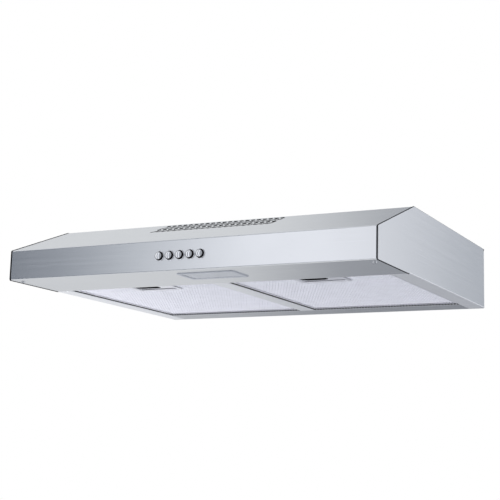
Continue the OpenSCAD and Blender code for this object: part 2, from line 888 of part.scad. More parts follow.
// Gland that a mains cable is led in through
module cable_gland()
    color(plastic_black) hood() translate([gland_pos.x, gland_pos.y, 0])
        rotate_extrude()
            polygon([
                [4, 84], [8, 84], [8, 90], [11, 90], [11, ceiling_z - 2], [gland_r, ceiling_z - 2],
                [gland_r, body_h], [4, body_h]
            ]);

// A lead along a route of square corners, each rounded by a quarter of a ring
module lead(route, r, bend) {
    last = len(route) - 1;
    way = [for (i = [1:last]) (route[i] - route[i - 1]) / norm(route[i] - route[i - 1])];
    for (i = [1:last]) {
        foot = route[i - 1] + way[i - 1] * (i > 1 ? bend : 0);
        head = route[i] - way[i - 1] * (i < last ? bend : 0);
        translate(foot)
            rotate([0, acos(way[i - 1].z), atan2(way[i - 1].y, way[i - 1].x)])
                cylinder(r = r, h = norm(head - foot));
    }
    if (last > 1) for (i = [1:last - 1]) {
        a = way[i - 1];
        b = way[i];
        n = cross(a, b);
        centre = route[i] + (b - a) * bend;
        multmatrix([[-b.x, a.x, n.x, centre.x], [-b.y, a.y, n.y, centre.y], [-b.z, a.z, n.z, centre.z]])
            rotate_extrude(angle = 90) translate([bend, 0]) circle(r);
    }
}

module wiring()
    color(plastic_black) hood() {
        lead(mains_route, 2.5, 8);
        lead(switch_route, 1.6, 4);
        lead(lamp_route, 1.6, 4);
        lead(capacitor_route, 1.6, 8);
    }

foot_strip();
front_panel();
slope_panel();
top_sheet();
side_left();
side_right();
back_panel();
divider();
corner_brackets();
body_screws();
switch_bracket();
switch_block();
bezel_rings();
button_springs();
button_1();
button_2();
button_3();
button_4();
button_5();
lamp_frame();
lamp_lens();
lamp_board();
lamp_lid();
lamp_driver();
filter_left_frame();
filter_left_faces();
filter_left_core();
filter_left_dish();
filter_right_frame();
filter_right_faces();
filter_right_core();
filter_right_dish();
latch_left();
latch_right();
latch_spring_left();
latch_spring_right();
scroll_housing();
scroll_cover();
inlet_ring();
inlet_guard();
impeller();
rotor_core();
motor_shaft();
motor_can();
motor_cap();
motor_stator();
motor_windings();
motor_bearings();
capacitor();
capacitor_clip();
outlet_plenum();
outlet_collar();
damper_pin();
damper_left();
damper_right();
junction_box();
junction_lid();
terminal_block();
cable_gland();
wiring();
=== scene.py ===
import math

import bmesh
import bpy
import numpy as np
from mathutils import Matrix, Vector


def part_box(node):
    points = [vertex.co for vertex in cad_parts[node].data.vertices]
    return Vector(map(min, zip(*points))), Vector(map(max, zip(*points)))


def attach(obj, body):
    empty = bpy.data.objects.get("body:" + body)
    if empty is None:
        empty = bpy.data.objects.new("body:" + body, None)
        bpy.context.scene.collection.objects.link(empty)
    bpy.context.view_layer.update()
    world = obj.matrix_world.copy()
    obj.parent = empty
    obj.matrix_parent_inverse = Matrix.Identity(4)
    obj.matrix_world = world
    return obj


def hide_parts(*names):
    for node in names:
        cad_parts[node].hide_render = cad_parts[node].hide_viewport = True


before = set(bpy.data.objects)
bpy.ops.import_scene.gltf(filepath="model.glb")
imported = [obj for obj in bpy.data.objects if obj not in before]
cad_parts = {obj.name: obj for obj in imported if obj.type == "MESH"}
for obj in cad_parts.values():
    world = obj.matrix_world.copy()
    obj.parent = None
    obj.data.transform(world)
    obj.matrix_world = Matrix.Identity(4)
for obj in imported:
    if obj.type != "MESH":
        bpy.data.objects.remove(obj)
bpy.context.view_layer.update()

# All pieces are drawn in millimetres, with z 0 at the underside and y 0 at the wall, as the
# hood's own drawing is, and are then scaled and moved down to the row frame.
BODY_H = 100.0
TO_ROW = Matrix.Translation((0, 0, -BODY_H / 1000)) @ Matrix.Scale(0.001, 4)


def drawn(node):
    """A CAD node's box at rest, in millimetres from the underside."""
    low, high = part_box(node)
    lift = Vector((0, 0, BODY_H))
    return Vector(low) * 1000 + lift, Vector(high) * 1000 + lift

def middle(node):
    low, high = drawn(node)
    return (low + high) / 2


# ---------------------------------------------------------------- sizes from the frame
FRONT_Y = drawn("front_panel")[0].y
HALF_W = drawn("side_right")[1].x
SIDE_BACK_Y = drawn("side_right")[1].y
LIP_X = drawn("side_right")[0].x
DIVIDER_HALF = drawn("divider")[1].x
OPEN_FRONT_Y = drawn("divider")[0].y
OPEN_BACK_Y = drawn("divider")[1].y

SHEET = 1.0
INNER_X = HALF_W - SHEET
FRONT_H = 45.5
SLOPE_D = 143.0
SLOPE_ANGLE = math.atan2(BODY_H - FRONT_H, SLOPE_D)
SLOPE_LEN = math.hypot(BODY_H - FRONT_H, SLOPE_D)
SEAM = 1.5
CANOPY_HALF = INNER_X - SEAM

# Outer radii of the folds: the body's own, its lower side and rear edges, and its small lips
FOLD_R = 2.5
HEM_R = 1.9
LIP_R = 1.3
LIP_H = 4.0

# Vent slots: four rows over a field that ends a little short of the slope's upper fold
SLOT_L, SLOT_W, SLOT_R = 14.0, 6.2, 3.09
SLOT_ROWS, SLOT_COLS, SLOT_PITCH, SLOT_LEAN = 4, 21, 9.8, 35
VENT_D, VENT_GAP = 62.0, 5.0

BUTTONS = range(1, 6)
BUTTON_HOLE_R, BEZEL_R, SKIRT_R, CAP_R = 6.65, 6.2, 5.85, 4.9
ROUND_STEPS = 56

# Holes in the flat top: outlet, hanging holes, screws and cable gland
OUTLET_R, HANGING_R, SCREW_R, GLAND_R = 50.0, 3.0, 1.9, 6.0
HANGING_X, HANGING_YS = 250.0, (-80, -300)
SCREW_YS = (-60, -190, -320)
GLAND_X, GLAND_Y = 230.0, -39.0
FOOT_SCREW_X, FOOT_SCREW_IN = 288.0, 19.0

# ---------------------------------------------------------------- camera
LENS_MM = 86.62
CAMERA_AT = (0.8531, -1.9535, -0.3737)
YAW, PITCH, ROLL = (math.radians(a) for a in (27.024, 10.309, -1.519))

scene = bpy.context.scene
camera = bpy.data.objects.new("camera", bpy.data.cameras.new("camera"))
scene.collection.objects.link(camera)
scene.camera = camera
camera.data.sensor_width = 36.0
camera.data.lens = LENS_MM
camera.data.clip_start = 0.05
camera.data.clip_end = 60.0
turn = (
    Matrix.Rotation(YAW, 3, "Z") @ Matrix.Rotation(PITCH, 3, "X") @ Matrix.Rotation(ROLL, 3, "Y")
)
# The turned frame looks along its +Y, and a camera looks along its own -Z
axes = Matrix((turn.col[0], turn.col[2], -turn.col[1])).transposed()
camera.matrix_world = Matrix.Translation(CAMERA_AT) @ axes.to_4x4()


# ---------------------------------------------------------------- materials
class Paint:
    """A node material with its helpers."""

    def __init__(self, name, colour, rough, metal=0.0):
        self.material = bpy.data.materials.new(name)
        self.material.use_nodes = True
        self.tree = self.material.node_tree
        self.shader = self.tree.nodes["Principled BSDF"]
        self.set(Metallic=metal, Roughness=rough)
        self.shader.inputs["Base Color"].default_value = (*colour, 1)
        self.colour = colour
        self.place = self.add("ShaderNodeTexCoord").outputs["Object"]

    def set(self, **values):
        for key, value in values.items():
            self.shader.inputs[key.replace("_", " ")].default_value = value

    def add(self, kind, **settings):
        made = self.tree.nodes.new(kind)
        for key, value in settings.items():
            setattr(made, key, value)
        return made

    def link(self, source, target):
        self.tree.links.new(source, target)

    def noise(self, stretch, scale=1.0, detail=2.0, rough=0.5, seed=0.0):
        """Noise of `scale` periods a metre along each stretched axis."""
        mapping = self.add("ShaderNodeMapping")
        mapping.inputs["Scale"].default_value = stretch
        mapping.inputs["Location"].default_value = (seed, seed * 0.7, seed * 1.3)
        self.link(self.place, mapping.inputs["Vector"])
        noise = self.add("ShaderNodeTexNoise")
        noise.inputs["Scale"].default_value = scale
        noise.inputs["Detail"].default_value = detail
        noise.inputs["Roughness"].default_value = rough
        self.link(mapping.outputs["Vector"], noise.inputs["Vector"])
        return noise.outputs["Fac"]

    def spread(self, value, low, high, start=0.3, stop=0.7):
        """The value's range from start to stop, laid over low to high."""
        ranged = self.add("ShaderNodeMapRange")
        ends = {"From Min": start, "From Max": stop, "To Min": low, "To Max": high}
        for key, number in ends.items():
            ranged.inputs[key].default_value = number
        self.link(value, ranged.inputs["Value"])
        return ranged.outputs["Result"]

    def math(self, kind, a, b):
        made = self.add("ShaderNodeMath", operation=kind)
        for socket, value in zip(made.inputs, (a, b)):
            if isinstance(value, (int, float)):
                socket.default_value = value
            else:
                self.link(value, socket)
        return made.outputs[0]

    def blend(self, a, b, share):
        """Two values added, with `share` of the first and the rest of the second."""
        return self.math(
            "ADD", self.math("MULTIPLY", a, share), self.math("MULTIPLY", b, 1 - share)
        )

    def roughen(self, value):
        self.link(value, self.shader.inputs["Roughness"])

    def tone(self, value, low, high):
        """Colour that varies between two shades of the base colour."""
        ramp = self.add("ShaderNodeValToRGB")
        ramp.color_ramp.elements[0].position = 0.3
        ramp.color_ramp.elements[1].position = 0.7
        ramp.color_ramp.elements[0].color = (*[c * low for c in self.colour], 1)
        ramp.color_ramp.elements[1].color = (*[min(1, c * high) for c in self.colour], 1)
        self.link(value, ramp.inputs["Fac"])
        self.link(ramp.outputs["Color"], self.shader.inputs["Base Color"])

    def bump(self, height, strength, distance):
        bump = self.add("ShaderNodeBump")
        bump.inputs["Strength"].default_value = strength
        bump.inputs["Distance"].default_value = distance
        self.link(height, bump.inputs["Height"])
        self.link(bump.outputs["Normal"], self.shader.inputs["Normal"])


def brushed(name, colour, rough, axis, spread=0.75, metal=1.0):
    """Sheet steel with fine lines along one axis, faint coarse bands and handling smudges."""
    paint = Paint(name, colour, rough, metal)
    along = {"x": (1, 0, 0), "y": (0, 1, 0)}[axis]
    fine = paint.noise([14 if a else 2600 for a in along], detail=3, rough=0.7)
    band = paint.noise([2.5 if a else 420 for a in along], detail=3, rough=0.6, seed=3.1)
    smudge = paint.noise((7, 7, 7), detail=3, rough=0.6, seed=8.2)
    lines = paint.blend(fine, band, 0.65)
    paint.tone(lines, 0.93, 1.04)
    lined = paint.spread(lines, rough - 0.035, rough + 0.035)
    paint.roughen(paint.math("ADD", lined, paint.spread(smudge, -0.015, 0.02)))
    paint.bump(lines, 0.12, 0.00006)
    tangent = paint.add("ShaderNodeTangent", direction_type="UV_MAP", uv_map="grain")
    paint.link(tangent.outputs["Tangent"], paint.shader.inputs["Tangent"])
    paint.set(Anisotropic=spread, Anisotropic_Rotation=0.25)
    return paint.material


def satin(
    name, colour, rough, metal, grain, lift=0.08, low=0.93, high=1.05, distance=0.00008, **more
):
    """Cast, coated or moulded surface with an even fine grain and slow tone changes."""
    paint = Paint(name, colour, rough, metal)
    fine = paint.noise((1, 1, 1), scale=grain, detail=4, rough=0.6)
    slow = paint.noise((1, 1, 1), scale=grain / 28, detail=2, seed=5.3)
    mixed = paint.blend(fine, slow, 0.5)
    paint.tone(mixed, low, high)
    paint.roughen(paint.spread(mixed, max(0.03, rough - 0.06), rough + 0.06))
    paint.bump(fine, lift, distance)
    paint.set(**more)
    return paint.material


def spangled(name, colour):
    """Zinc coat with the crystal pattern that dipped sheet has."""
    paint = Paint(name, colour, 0.38, 1.0)
    cells = paint.add("ShaderNodeTexVoronoi")
    cells.inputs["Scale"].default_value = 260
    paint.link(paint.place, cells.inputs["Vector"])
    grey = paint.add("ShaderNodeRGBToBW")
    paint.link(cells.outputs["Color"], grey.inputs["Color"])
    mixed = paint.blend(grey.outputs[0], paint.noise((1, 1, 1), scale=900, detail=3), 0.6)
    paint.tone(mixed, 0.95, 1.03)
    paint.roughen(paint.spread(mixed, 0.3, 0.46))
    paint.bump(mixed, 0.06, 0.0001)
    return paint.material


def wound(name, colour):
    """Enamelled wire laid side by side round the stator."""
    paint = Paint(name, colour, 0.25, 1.0)
    wave = paint.add("ShaderNodeTexWave", wave_type="RINGS", rings_direction="Z")
    wave.inputs["Scale"].default_value = 420
    wave.inputs["Distortion"].default_value = 1.5
    paint.link(paint.place, wave.inputs["Vector"])
    turns = wave.outputs["Fac"]
    paint.tone(turns, 0.6, 1.2)
    paint.roughen(paint.spread(turns, 0.22, 0.4, 0, 1))
    paint.bump(turns, 0.5, 0.0003)
    return paint.material


def frosted(name, colour):
    """Clear plastic with a small square texture moulded into it."""
    paint = Paint(name, colour, 0.5)
    grid = paint.add("ShaderNodeTexVoronoi", feature="F1", distance="CHEBYCHEV")
    grid.inputs["Scale"].default_value = 520
    grid.inputs["Randomness"].default_value = 0.0
    paint.link(paint.place, grid.inputs["Vector"])
    paint.tone(paint.noise((1, 1, 1), scale=60, detail=2), 0.97, 1.02)
    paint.roughen(paint.spread(grid.outputs["Distance"], 0.36, 0.52, 0, 0.7))
    paint.bump(grid.outputs["Distance"], 0.25, 0.0003)
    paint.set(Transmission_Weight=0.35, IOR=1.49)
    return paint.material


STEEL = (0.72, 0.73, 0.745)
steel_x = brushed("brushed_steel_across", STEEL, 0.24, "x")
steel_y = brushed("brushed_steel_depth", STEEL, 0.24, "y")
# The lips and divider are the body's steel, made paler and less metallic so that they come out
# lighter: painted light
steel_lip_painted_light = brushed("brushed_steel_lip_painted_light", (0.84, 0.845, 0.86), 0.38, "y", 0.4, 0.78)
alloy = satin("alloy_satin", (0.80, 0.80, 0.84), 0.33, 0.8, 700)
alloy_mesh = satin("alloy_mesh", (0.90, 0.90, 0.95), 0.40, 0.35, 1100, low=0.94, high=1.04)
# Alloy knit given a dark base colour: painted shade for the depth behind the mesh
pad_with_painted_shade = satin(
    "alloy_pad_painted_shade", (0.34, 0.34, 0.37), 0.50, 0.30, 420, lift=0.5, low=0.75, high=1.12, distance=0.0006
)
chrome = satin(
    "chrome_polish", (0.86, 0.87, 0.89), 0.07, 1.0, 260, lift=0.01, low=0.98, high=1.01
)
zinc = spangled("zinc_spangle", (0.60, 0.61, 0.63))
trim = satin("lamp_trim_satin", (0.40, 0.42, 0.46), 0.34, 0.55, 1300)
# Near-black with almost no reflection: black plastic on the button skirts, and painted shade on the
# seams, vent slots, filter gaps and latch slots
black_and_painted_shade = satin("black_plastic_and_painted_shade", (0.012, 0.012, 0.014), 0.8, 0.0, 900, Specular_IOR_Level=0.06)
black = satin("black_moulded", (0.035, 0.035, 0.04), 0.48, 0.0, 1500, lift=0.25)
white = satin("white_moulded", (0.80, 0.80, 0.78), 0.42, 0.0, 1400, lift=0.12)
board = satin("board_white", (0.84, 0.85, 0.82), 0.5, 0.0, 1600, lift=0.06)
rotor = satin("impeller_moulded", (0.11, 0.125, 0.14), 0.4, 0.0, 1200, lift=0.15)
motor = satin("motor_steel_satin", (0.42, 0.43, 0.45), 0.36, 0.9, 800)
copper = wound("copper_wound", (0.62, 0.27, 0.11))
wire_steel = satin("spring_wire", (0.56, 0.57, 0.6), 0.22, 1.0, 1500)
sheath = satin("cable_sheath_rubber", (0.022, 0.022, 0.025), 0.55, 0.0, 1800, lift=0.2)
lens = frosted("lens_frosted", (0.50, 0.52, 0.55))


# ---------------------------------------------------------------- mesh helpers
def raw(name, verts, faces, place=TO_ROW):
    """An object of these points and faces, its points moved by place."""
    mesh = bpy.data.meshes.new(name)
    mesh.from_pydata([tuple(place @ Vector(v)) for v in verts], [], faces)
    obj = bpy.data.objects.new(name, mesh)
    scene.collection.objects.link(obj)
    return obj


def face_out(mesh):
    work = bmesh.new()
    work.from_mesh(mesh)
    bmesh.ops.recalc_face_normals(work, faces=work.faces)
    work.to_mesh(mesh)
    work.free()


def bare(name, verts, faces):
    """An object that is still to be cut, in drawing millimetres."""
    obj = raw(name, verts, faces)
    face_out(obj.data)
    return obj


def dress(obj, material, body, replaces=(), angle=32, grain=None):
    """Finishes an object's mesh, and puts the object on its body."""
    mesh = obj.data
    face_out(mesh)
    mesh.materials.clear()
    mesh.materials.append(material)
    mesh.shade_smooth()
    mesh.set_sharp_from_angle(angle=math.radians(angle))
    if grain:
        grain_map(mesh, grain)
    weighted = obj.modifiers.new("weighted", "WEIGHTED_NORMAL")
    weighted.keep_sharp = True
    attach(obj, body)
    if replaces:
        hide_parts(*replaces)


def piece(
    name, verts, faces, material, body, slot, replaces=(), angle=32, grain=None, local=None
):
    """Makes a piece from points in drawing millimetres, and puts it on its body."""
    obj = raw(name, verts, faces, TO_ROW if local is None else TO_ROW @ local)
    dress(obj, material, body, replaces, angle, grain)


def grain_map(mesh, axis):
    """Lays each face out with U along the brushing."""
    layer = mesh.uv_layers.new(name="grain")
    along = {"x": Vector((1, 0, 0)), "y": Vector((0, 1, 0))}[axis]
    for face in mesh.polygons:
        u = along - face.normal * along.dot(face.normal)
        if u.length < 0.2:
            u = face.normal.orthogonal()
        u.normalize()
        v = face.normal.cross(u)
        for loop in face.loop_indices:
            point = mesh.vertices[mesh.loops[loop].vertex_index].co
            layer.data[loop].uv = (point.dot(u), point.dot(v))


def fold_path(points, radii, thick, steps=9):
    """Closed outline of a sheet bent along points, with its thickness to the right of the way."""
    points = [Vector(p) for p in points]
    outer, inner = [], []

    def right(a, b):
        way = (b - a).normalized()
        return Vector((way.y, -way.x))

    outer.append(points[0])
    inner.append(points[0] + right(points[0], points[1]) * thick)
    for before, corner, after, r in zip(points, points[1:], points[2:], radii):
        u, v = (before - corner).normalized(), (after - corner).normalized()
        half = u.angle(v) / 2
        centre = corner + (u + v).normalized() * (r / math.sin(half))
        start = -right(before, corner)
        turn_by = start.angle(-right(corner, after))
        for i in range(steps + 1):
            a = -turn_by * i / steps
            way = Vector((
                start.x * math.cos(a) - start.y * math.sin(a),
                start.x * math.sin(a) + start.y * math.cos(a),
            ))
            outer.append(centre + way * r)
            inner.append(centre + way * max(0.15, r - thick))
    outer.append(points[-1])
    inner.append(points[-1] + right(points[-2], points[-1]) * thick)
    return outer, inner


def swept(outer, inner, stations, put):
    """A bent sheet swept through stations of (distance, inset of the outer face)."""
    verts, faces = [], []
    count = len(outer)
    for distance, inset in stations:
        for o, i in zip(outer, inner):
            verts.append(put(distance, o + (i - o).normalized() * inset))
        for i in reversed(inner):
            verts.append(put(distance, i))
    ring = 2 * count
    for s in range(len(stations) - 1):
        for k in range(ring):
            n = (k + 1) % ring
            faces.append((s * ring + k, s * ring + n, (s + 1) * ring + n, (s + 1) * ring + k))
    for base in (0, (len(stations) - 1) * ring):
        for k in range(count - 1):
            faces.append((base + k, base + k + 1, base + ring - 2 - k, base + ring - 1 - k))
    return verts, faces


def across(distance, point):
    """Puts a swept outline's point at a distance along X."""
    return distance, point.x, point.y


def plain_stations(low, high, edge=0.35, steps=3):
    """Stations along a sweep whose outer face rounds off at both cut ends."""
    angles = [math.pi / 2 * i / steps for i in range(steps + 1)]
    start = [(low + edge * (1 - math.cos(a)), edge * (1 - math.sin(a))) for a in angles]
    return start + [(high + low - d, inset) for d, inset in reversed(start)]


def rounded_outline(w, h, r, arc=8, centre=(0, 0)):
    """Points round a rectangle with round corners, the same number for any size."""
    points = []
    r = max(r, 0.05)
    for qx, qy, start in ((1, 1, 0), (-1, 1, 90), (-1, -1, 180), (1, -1, 270)):
        for i in range(arc + 1):
            a = math.radians(start + 90 * i / arc)
            points.append((
                centre[0] + qx * (w / 2 - r) + r * math.cos(a),
                centre[1] + qy * (h / 2 - r) + r * math.sin(a),
            ))
    return points


def ring_at(z, *outline):
    """A rounded outline at height z."""
    return [(x, y, z) for x, y in rounded_outline(*outline)]


def loft(rings, close=False, cap_start=False, cap_end=False):
    """Quads between rings of the same number of 3-D points."""
    verts = [v for ring in rings for v in ring]
    n = len(rings[0])
    faces = []
    pairs = list(zip(range(len(rings) - 1), range(1, len(rings))))
    if close:
        pairs.append((len(rings) - 1, 0))
    for a, b in pairs:
        for k in range(n):
            m = (k + 1) % n
            faces.append((a * n + k, a * n + m, b * n + m, b * n + k))
    if cap_start:
        faces.append(tuple(range(n)))
    if cap_end:
        faces.append(tuple((len(rings) - 1) * n + k for k in range(n)))
    return verts, faces


def joined(*parts):
    """Several (verts, faces) as one."""
    verts, faces = [], []
    for v, f in parts:
        faces += [tuple(i + len(verts) for i in face) for face in f]
        verts += list(v)
    return verts, faces


def block(low, high, edge=0.3):
    """A box with its twelve edges chamfered, from low to high."""
    low, high = Vector(low), Vector(high)
    mid, size = (low + high) / 2, high - low
    edge = min(edge, min(size) * 0.3)
    levels = ((low.z, edge), (low.z + edge, 0), (high.z - edge, 0), (high.z, edge))
    rings = [
        ring_at(z, size.x - 2 * inset, size.y - 2 * inset, edge, 2, (mid.x, mid.y))
        for z, inset in levels
    ]
    return loft(rings, cap_start=True, cap_end=True)


def side_block(sign, low, high, edge):
    """A block as given on the right side, or its mirror image on the left."""
    x0, x1 = sorted((sign * low[0], sign * high[0]))
    return block((x0, *low[1:]), (x1, *high[1:]), edge)


def lathe(profile, steps, centre, **ends):
    """Turns (radius, y) points round an axis along Y. A radius of 0 closes the end."""
    rings = []
    for r, y in profile:
        r = max(r, 1e-4)
        angles = [2 * math.pi * k / steps for k in range(steps)]
        rings.append(
            [(centre.x + r * math.cos(a), y, centre.z + r * math.sin(a)) for a in angles]
        )
    return loft(rings, **ends)


def cut(obj, verts, faces):
    """Takes a shape away from a piece, for good."""
    tool = bare("cutter", verts, faces)
    change = obj.modifiers.new("cut", "BOOLEAN")
    change.operation, change.solver, change.object = "DIFFERENCE", "EXACT", tool
    evaluated = obj.evaluated_get(bpy.context.evaluated_depsgraph_get())
    result = bpy.data.meshes.new_from_object(evaluated)
    obj.modifiers.remove(change)
    obj.data = result
    bpy.data.objects.remove(tool)


def prism(outline, low, high, place=None):
    """A flat outline raised from low to high, moved by place."""
    rings = [[Vector((x, y, z)) for x, y in outline] for z in (low, high)]
    if place is not None:
        rings = [[place @ p for p in ring] for ring in rings]
    return loft(rings, cap_start=True, cap_end=True)


def round_hole(r, x, y, steps, level=BODY_H, reach=4):
    """A round cutter through the flat top, or through the sheet at another level."""
    angles = [2 * math.pi * k / steps for k in range(steps)]
    outline = [(x + r * math.cos(a), y + r * math.sin(a)) for a in angles]
    return prism(outline, level - reach, level + reach)


# ---------------------------------------------------------------- canopy
def body_path(lip=True):
    """Points of the bent sheet in Y and Z, from the foot up the front to the wall."""
    lead = [(OPEN_FRONT_Y, LIP_H), (OPEN_FRONT_Y, 0)] if lip else [(OPEN_FRONT_Y, 0)]
    path = [(FRONT_Y, 0), (FRONT_Y, FRONT_H), (FRONT_Y + SLOPE_D, BODY_H), (0, BODY_H)]
    return lead + path, ([LIP_R] if lip else []) + [FOLD_R] * 3


def slope_place(x, s, lean):
    """A place on the slope, s up from its lower fold, with its X axis turned by lean."""
    return (
        Matrix.Translation((x, FRONT_Y, FRONT_H))
        @ Matrix.Rotation(SLOPE_ANGLE, 4, "X")
        @ Matrix.Translation((0, s, 0))
        @ Matrix.Rotation(math.radians(lean), 4, "Z")
    )


def slot_places():
    """Where the vent slots lie. Each row leans the other way from the row beside it."""
    return [
        slope_place(
            (col - SLOT_COLS // 2) * SLOT_PITCH,
            SLOPE_LEN - VENT_GAP - VENT_D * (row + 0.5) / SLOT_ROWS,
            90 + (-SLOT_LEAN if row % 2 else SLOT_LEAN),
        )
        for row in range(SLOT_ROWS)
        for col in range(SLOT_COLS)
    ]


def slot_outline(inset, arc):
    return rounded_outline(SLOT_L - 2 * inset, SLOT_W - 2 * inset, SLOT_R - inset, arc)


def make_canopy():
    stations = plain_stations(-CANOPY_HALF, CANOPY_HALF, 0.8, 4)
    obj = bare("canopy_shell", *swept(*fold_path(*body_path(), SHEET), stations, across))
    cutters = [prism(slot_outline(0, 6), -3, 3, place) for place in slot_places()]
    for i in BUTTONS:
        hole = [(BUTTON_HOLE_R, FRONT_Y - 2), (BUTTON_HOLE_R, FRONT_Y + 4)]
        cutters.append(lathe(hole, 40, middle(f"button_{i}"), cap_start=True, cap_end=True))
    low, high = drawn("lamp_frame")
    mid, size = (low + high) / 2, high - low
    cutters.append(prism(rounded_outline(size.x - 8, size.y - 8, 4, 6, (mid.x, mid.y)), -2, 4))
    cutters.append(round_hole(OUTLET_R, 0, middle("outlet_collar").y, 96))
    for s in (-1, 1):
        cutters += [round_hole(HANGING_R, s * HANGING_X, y, 24) for y in HANGING_YS]
        cutters += [round_hole(SCREW_R, s * (INNER_X - 6), y, 20) for y in SCREW_YS]
        cutters.append(
            round_hole(SCREW_R, s * FOOT_SCREW_X, FRONT_Y + FOOT_SCREW_IN, 20, 0, 3)
        )
    cutters.append(round_hole(GLAND_R, GLAND_X, GLAND_Y, 32))
    cut(obj, *joined(*cutters))
    nodes = ("foot_strip", "front_panel", "slope_panel", "top_sheet")
    dress(obj, steel_x, "hood", nodes, 30, "x")


def make_seam_shade():
    """The near-black strip between the bent sheet and each side panel, 0.5 mm proud of both:
    painted shade for the dark line of the seam.
    """
    outer, inner = fold_path(*body_path(False), 1.2)
    outer, inner = [
        [o + (i - o).normalized() * depth for o, i in zip(outer, inner)] for depth in (-0.5, 2.2)
    ]
    start, stop = CANOPY_HALF + 0.05, INNER_X + 0.05
    strips = [swept(outer, inner, [(s * start, 0), (s * stop, 0)], across) for s in (-1, 1)]
    piece("seam_painted_shade", *joined(*strips), black_and_painted_shade, "hood", "black_plastic")


# ---------------------------------------------------------------- side, back and divider
def side_outline(inset):
    """Outline of a side panel in Y and Z, without its bent bottom edge."""
    outer, inner = fold_path(*body_path(False), SHEET)
    points = [o + (i - o).normalized() * inset for o, i in zip(outer, inner)]
    hem = 2.0
    back = [(SIDE_BACK_Y - inset, BODY_H - inset), (SIDE_BACK_Y - inset, hem)]
    front = [(OPEN_FRONT_Y + 1.2, hem), (OPEN_FRONT_Y + 0.4, inset)]
    return [tuple(p) for p in points[:-1]] + back + front


def make_side(sign, side):
    layers = ((INNER_X, 0), (INNER_X + 0.35, 0), (HALF_W - 0.45, 0.04), (HALF_W - 0.15, 0.2),
              (HALF_W, 0.55))
    rings = [[(sign * x, y, z) for y, z in side_outline(inset)] for x, inset in layers]
    plate = loft(rings, cap_start=True, cap_end=True)
    flange = side_block(sign, (INNER_X - 12, FRONT_Y + SLOPE_D + 8, 98),
                        (INNER_X, SIDE_BACK_Y - 11, 99), 0.2)
    piece(f"side_shell_{side}", *joined(plate, flange), steel_y, "hood", "brushed_body",
          (f"side_{side}",), 34, "y")
    path = [(HALF_W, 2.0), (HALF_W, 0), (LIP_X, 0), (LIP_X, LIP_H)]
    channel = swept(*fold_path(path, [HEM_R, LIP_R], SHEET),
                    plain_stations(OPEN_FRONT_Y + 0.4, SIDE_BACK_Y, 0.3),
                    lambda d, p: (sign * p.x, d, p.y))
    piece(f"side_lip_{side}", *channel, steel_lip_painted_light, "hood", "brushed_body", angle=34, grain="y")


def make_back():
    edge = LIP_X - 0.4
    half = INNER_X - 0.2
    wall = [(0, 99), (0, 0)]
    rail = fold_path(wall + [(OPEN_BACK_Y, 0), (OPEN_BACK_Y, LIP_H)], [HEM_R, LIP_R], SHEET)
    short = fold_path(wall + [(SIDE_BACK_Y + 0.1, 0)], [HEM_R], SHEET)
    parts = [swept(*rail, [(-edge, 0), (edge, 0)], across)]
    for s in (-1, 1):
        ends = [(s * edge, 0), (s * (half - 0.4), 0), (s * half, 0.4)]
        parts.append(swept(*short, ends, across))
        parts.append(side_block(s, (half - SHEET, -16, 1.2), (half, -0.6, 98), 0.2))
    piece("back_shell", *joined(*parts), zinc, "hood", "galvanised", ("back_panel",), 34)


def make_divider():
    w = DIVIDER_HALF
    shape = fold_path([(w, LIP_H), (w, 0), (-w, 0), (-w, LIP_H)], [LIP_R, LIP_R], SHEET)
    strip = swept(*shape, plain_stations(OPEN_FRONT_Y, OPEN_BACK_Y, 0.3),
                  lambda d, p: (p.x, d, p.y))
    piece("divider_strip", *strip, steel_lip_painted_light, "hood", "brushed_body", ("divider",), 34, "y")


# ---------------------------------------------------------------- filters
# A filter is drawn from the middle of its front edge, with z 0 at its lower face
FRAME_H, FRAME_SKIN, FRAME_RIM, FRAME_R = 9.0, 0.8, 5.0, 1.1
DRAINS, DRAIN_PITCH, DRAIN_L, DRAIN_W, DRAIN_R = 31, 7.8, 5.0, 3.0, 1.3
TONGUE_X, TONGUE_HALF, TONGUE_OUT, TONGUE_TOP = 80, 12, 9, 4.4
DISH_X, DISH_Y, DISH_W, DISH_L, DISH_R = 13.0, 4.0, 74.0, 40.0, 6.0
LATCH_Y, LATCH_W, LATCH_L, LATCH_R = 8.0, 69.0, 28.0, 1.5
FINGER_W, FINGER_L, FINGER_R = 42, 20, 9.98


